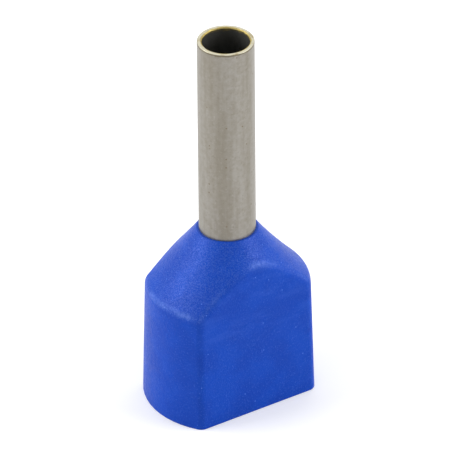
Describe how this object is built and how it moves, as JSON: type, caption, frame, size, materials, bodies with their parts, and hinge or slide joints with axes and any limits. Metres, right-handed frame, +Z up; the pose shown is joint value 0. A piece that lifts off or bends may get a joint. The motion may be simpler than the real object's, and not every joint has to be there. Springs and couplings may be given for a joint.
{
  "type": "twin wire ferrule",
  "caption": "Twin wire ferrule: a thin tinned copper sleeve in a blue moulded collar whose oblong mouth takes two insulated wires side by side.",
  "frame": {"origin": "centre of the collar's open mouth, in the plane of its rim", "axes": "+Z up the sleeve to its tip; X along the long side of the mouth, where the two wires lie side by side; the collar's flat faces look along +Y and -Y"},
  "size_m": [0.0064, 0.004, 0.015],
  "materials": {
    "tinned_copper": "satin",
    "blue_plastic": "matte"
  },
  "bodies": {
    "root": {"contact_sleeve": "tinned_copper", "insulating_collar": "blue_plastic"}
  },
  "joints": []
}
